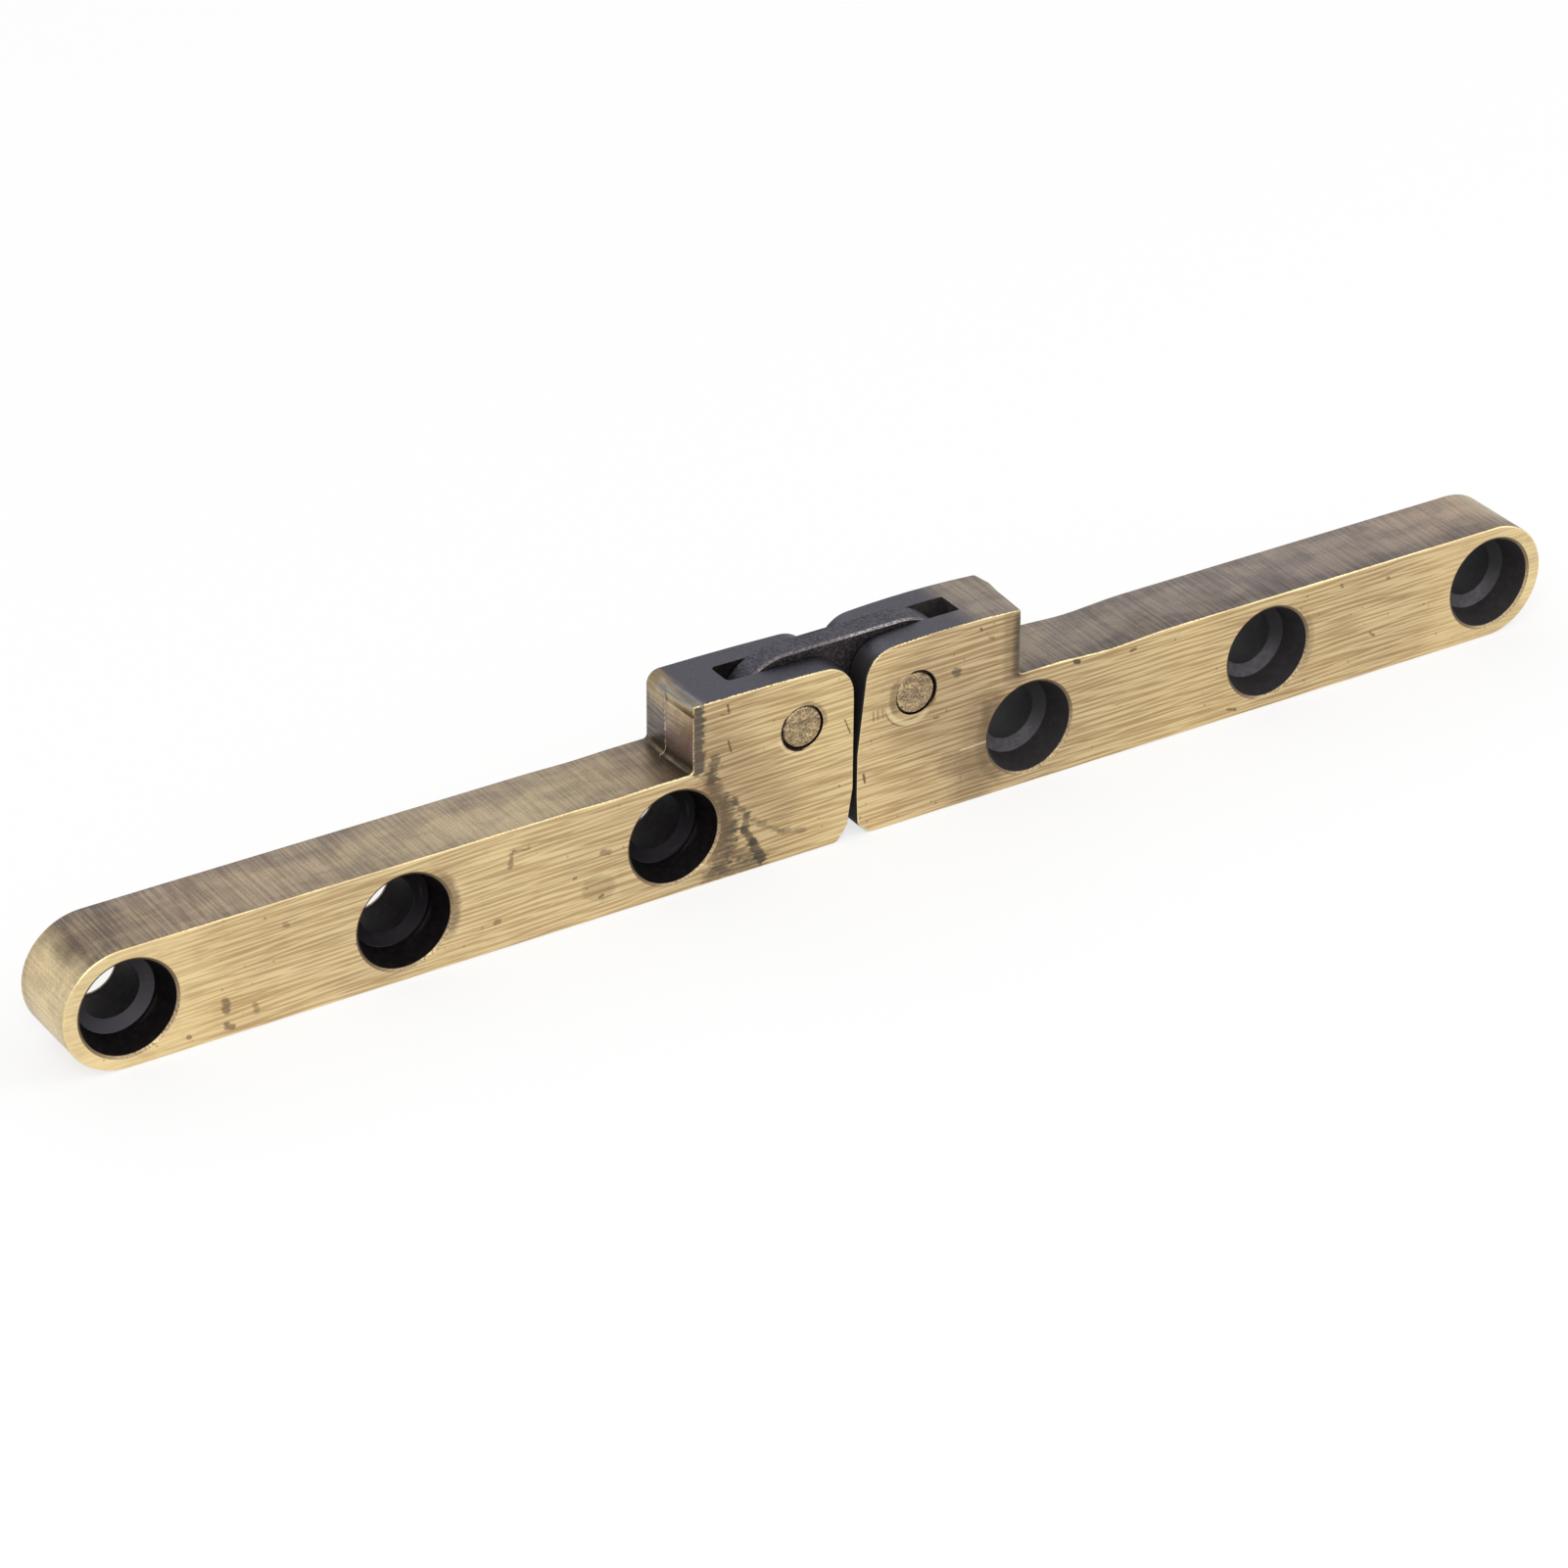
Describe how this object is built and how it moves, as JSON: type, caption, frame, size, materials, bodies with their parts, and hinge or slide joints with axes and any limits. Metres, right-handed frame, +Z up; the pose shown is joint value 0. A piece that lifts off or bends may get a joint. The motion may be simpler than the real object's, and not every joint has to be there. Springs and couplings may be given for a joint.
{
  "type": "flap hinge",
  "caption": "Edge-fixed flap hinge: cast brass leaves joined end to end by a pinned link let into slots, so a flap folds up and lies back flat.",
  "frame": {"origin": "middle of the hinge's length and depth, on the underside of the bars, at the joint between the leaves", "axes": "+X along the hinge, +Y into the work away from the screw heads, +Z up towards the knuckle blocks"},
  "size_m": [0.1508, 0.0076, 0.0184],
  "materials": {
    "leaf_brass": "brushed",
    "link_brass": "tarnished",
    "pin_brass": "brushed"
  },
  "bodies": {
    "left_leaf": {"left_leaf": "leaf_brass", "left_pin": "pin_brass"},
    "link": {"link": "link_brass"},
    "right_leaf": {"right_leaf": "leaf_brass", "right_pin": "pin_brass"}
  },
  "joints": [
    {"name": "link_pivot", "type": "hinge", "parent": "left_leaf", "child": "link", "pos_m": [-0.0054, 0, 0.0125], "axis": [0, -1, 0], "range_deg": [0, 90]},
    {"name": "leaf_pivot", "type": "hinge", "parent": "link", "child": "right_leaf", "pos_m": [0.0061, 0, 0.0125], "axis": [0, -1, 0], "range_deg": [0, 90]}
  ]
}
